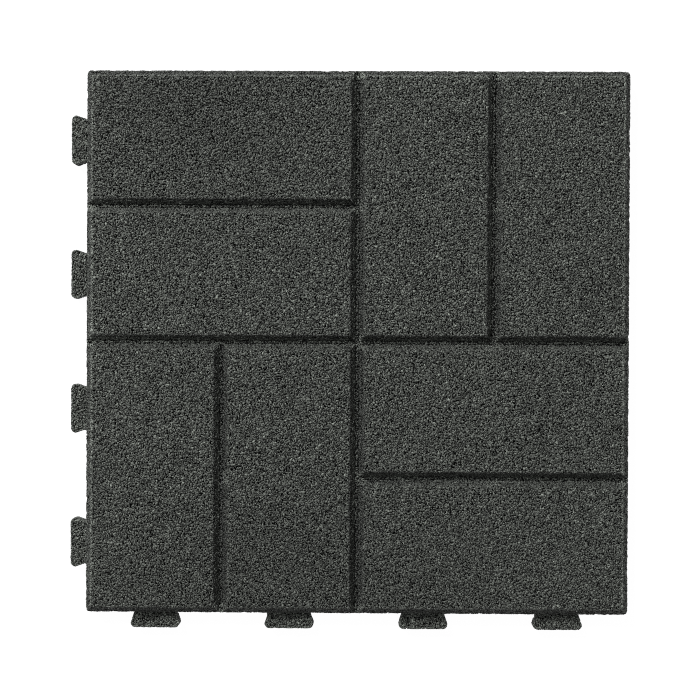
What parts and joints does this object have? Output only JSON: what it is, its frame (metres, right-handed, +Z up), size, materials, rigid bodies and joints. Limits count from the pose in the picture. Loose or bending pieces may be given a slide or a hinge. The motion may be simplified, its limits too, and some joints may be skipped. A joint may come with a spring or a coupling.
{
  "type": "interlocking rubber paver",
  "caption": "Square crumb-rubber paver moulded as basket-weave bricks, with dovetail tabs on two sides and hidden sockets under the other two.",
  "frame": {"origin": "centre of the square body's underside, the tabs left out", "axes": "+Z up through the walking face, +X towards the right side with sockets, +Y towards the back side with sockets; the tabs stand out to -X and -Y"},
  "size_m": [0.4188, 0.4188, 0.019],
  "materials": {
    "crumb_rubber": "matt charcoal bonded rubber crumb, rough and granular"
  },
  "bodies": {
    "root": {"paver": "crumb_rubber"}
  },
  "joints": []
}
